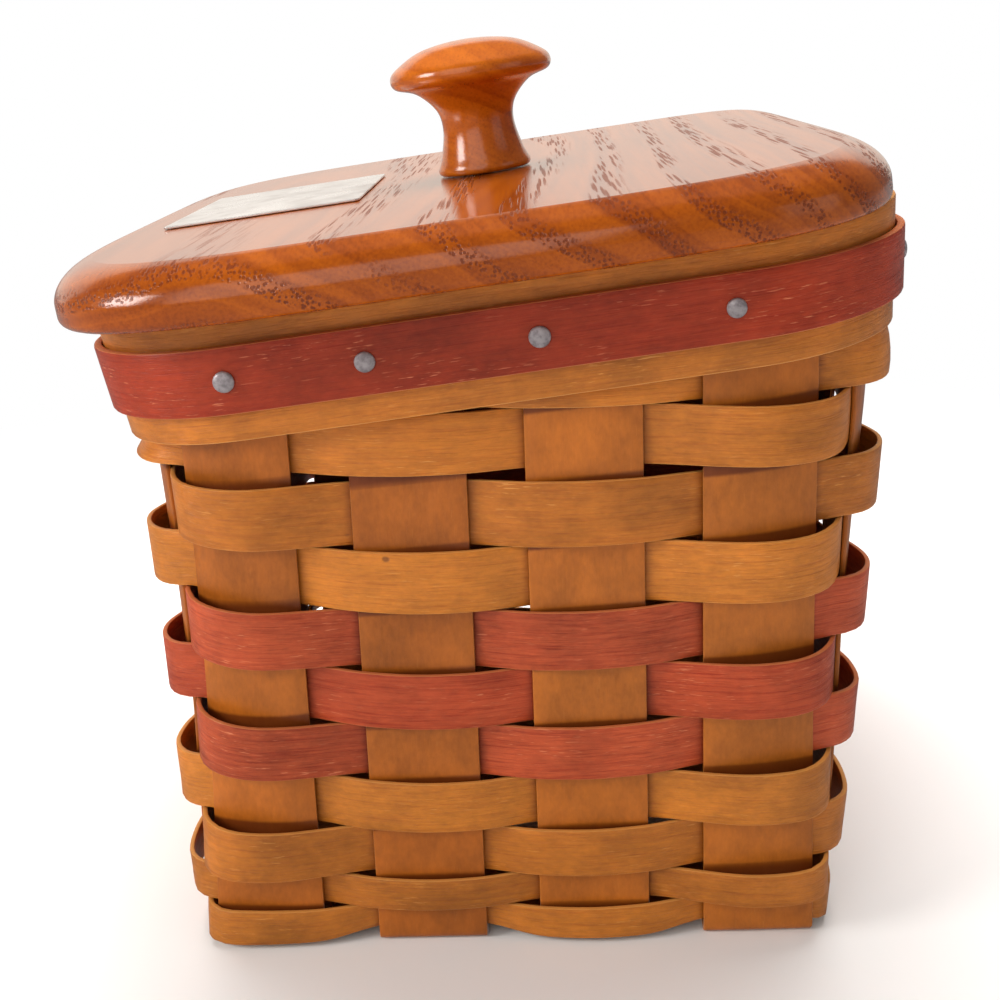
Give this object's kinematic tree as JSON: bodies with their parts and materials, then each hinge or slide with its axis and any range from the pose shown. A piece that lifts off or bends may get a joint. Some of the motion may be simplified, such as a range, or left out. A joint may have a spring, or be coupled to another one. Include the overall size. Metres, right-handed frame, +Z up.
{
  "type": "lidded basket",
  "caption": "Woven splint basket with a sloping rim, rose bands and a lift-off oak lid with a turned knob.",
  "frame": {"origin": "on the surface the basket stands on, under the middle of the whole outline seen from above", "axes": "+Z up; +X towards the rim's high end; +Y towards the back, so the lid board's grain runs along Y"},
  "size_m": [0.1702, 0.19, 0.1806],
  "materials": {
    "maple_splint": "honey-stained maple splints, satin lacquer",
    "rose_splint": "rose-dyed maple splints, satin, grain showing through",
    "oak": "orange-brown stained oak, glossy clear lacquer, open pores",
    "tack_metal": "dull grey tack heads",
    "screw_steel": "plain zinc-plated steel",
    "plate_metal": "satin bare metal plate"
  },
  "bodies": {
    "basket": {"weaver_01": "maple_splint", "weaver_02": "maple_splint", "weaver_03": "maple_splint", "weaver_04": "maple_splint", "weaver_05": "rose_splint", "weaver_06": "rose_splint", "weaver_07": "rose_splint", "weaver_08": "maple_splint", "weaver_09": "maple_splint", "weaver_10": "maple_splint", "weaver_11": "maple_splint", "long_splint_1": "maple_splint", "long_splint_2": "maple_splint", "long_splint_3": "maple_splint", "long_splint_4": "maple_splint", "cross_splint_1": "maple_splint", "cross_splint_2": "maple_splint", "cross_splint_3": "maple_splint", "cross_splint_4": "maple_splint", "rim_inner_band": "maple_splint", "rim_outer_band": "maple_splint", "trim_band": "rose_splint", "tack_front_1": "tack_metal", "tack_front_2": "tack_metal", "tack_front_3": "tack_metal", "tack_front_4": "tack_metal", "tack_right_1": "tack_metal", "tack_right_2": "tack_metal", "tack_right_3": "tack_metal", "tack_right_4": "tack_metal", "tack_back_1": "tack_metal", "tack_back_2": "tack_metal", "tack_back_3": "tack_metal", "tack_back_4": "tack_metal", "tack_left_1": "tack_metal", "tack_left_2": "tack_metal", "tack_left_3": "tack_metal", "tack_left_4": "tack_metal"},
    "lid": {"lid_board": "oak", "lid_knob": "oak", "knob_screw": "screw_steel", "tag_plate": "plate_metal", "lid_cleat_front": "oak", "lid_cleat_back": "oak", "cleat_screw_1": "screw_steel", "cleat_screw_2": "screw_steel", "cleat_screw_3": "screw_steel", "cleat_screw_4": "screw_steel"}
  },
  "joints": [
    {"name": "lid_lift", "type": "slide", "parent": "basket", "child": "lid", "axis": [-0.1132, 0, 0.9936], "range_m": [0, 0.06]}
  ]
}
